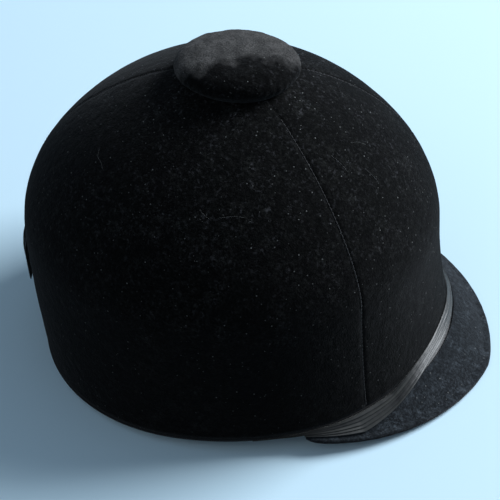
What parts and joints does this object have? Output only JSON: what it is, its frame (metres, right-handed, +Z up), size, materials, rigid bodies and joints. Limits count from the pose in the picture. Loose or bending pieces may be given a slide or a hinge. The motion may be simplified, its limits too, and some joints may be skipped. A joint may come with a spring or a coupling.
{
  "type": "riding helmet",
  "caption": "Velvet riding helmet with a padded hard shell, peak, round top button, pleated ribbon band with a bow at the back, and a folding chin harness.",
  "frame": {"origin": "middle of the head opening on the plane that the helmet rests on, below the widest ring of the crown", "axes": "+X forward towards the peak, +Y to the wearer's left, +Z up through the crown"},
  "size_m": [0.2779, 0.226, 0.1973],
  "materials": {
    "velvet": "black cotton velvet with a short nap",
    "ribbon": "black grosgrain ribbon",
    "binding": "black woven tape",
    "shell": "moulded black plastic, matt",
    "foam": "white bead foam",
    "lining": "black quilted lining cloth",
    "sweatband_leather": "black leather",
    "webbing": "black woven webbing",
    "plastic": "moulded black plastic, satin",
    "steel": "plated steel"
  },
  "bodies": {
    "helmet": {"hard_shell": "shell", "foam_liner": "foam", "velvet_front": "velvet", "velvet_left": "velvet", "velvet_right": "velvet", "rim_binding": "binding", "quilted_lining": "lining", "crown_pad": "lining", "sweatband_foam": "lining", "sweatband": "sweatband_leather", "button_core": "foam", "button_cover": "velvet", "button_stud": "steel", "button_washer": "steel", "peak_plate": "shell", "peak_velvet": "velvet", "peak_lining": "binding", "peak_roll": "velvet", "peak_rivets": "steel", "ribbon_band": "ribbon", "bow_loops": "ribbon", "bow_knot": "ribbon", "bow_tails": "ribbon", "nape_strap": "webbing", "nape_rivets": "steel", "anchor_brackets": "plastic", "anchor_rivets": "steel", "anchor_bars": "steel"},
    "right_harness": {"right_front_strap": "webbing", "right_rear_strap": "webbing", "right_divider": "plastic"},
    "left_harness": {"left_front_strap": "webbing", "left_rear_strap": "webbing", "left_divider": "plastic"},
    "chin_harness": {"chin_strap": "webbing", "chin_pad": "sweatband_leather", "buckle_socket": "plastic"},
    "short_harness": {"short_strap": "webbing", "buckle_plug": "plastic"},
    "adjuster": {"strap_adjuster": "plastic"}
  },
  "joints": [
    {"name": "right_harness_fold", "type": "hinge", "parent": "helmet", "child": "right_harness", "pos_m": [0, -0.09007, 0.014], "axis": [1, 0, 0], "range_deg": [-95, 0]},
    {"name": "left_harness_fold", "type": "hinge", "parent": "helmet", "child": "left_harness", "pos_m": [0, 0.09007, 0.014], "axis": [1, 0, 0], "range_deg": [0, 95]},
    {"name": "chin_strap_fold", "type": "hinge", "parent": "right_harness", "child": "chin_harness", "pos_m": [0, -0.0065, 0.0038], "axis": [1, 0, 0], "range_deg": [-95, 0]},
    {"name": "short_strap_fold", "type": "hinge", "parent": "left_harness", "child": "short_harness", "pos_m": [0, 0.0065, 0.0038], "axis": [1, 0, 0], "range_deg": [0, 95]},
    {"name": "adjuster_slide", "type": "slide", "parent": "short_harness", "child": "adjuster", "axis": [0, 0.9926, 0.1212], "range_m": [0, 0.018]}
  ]
}
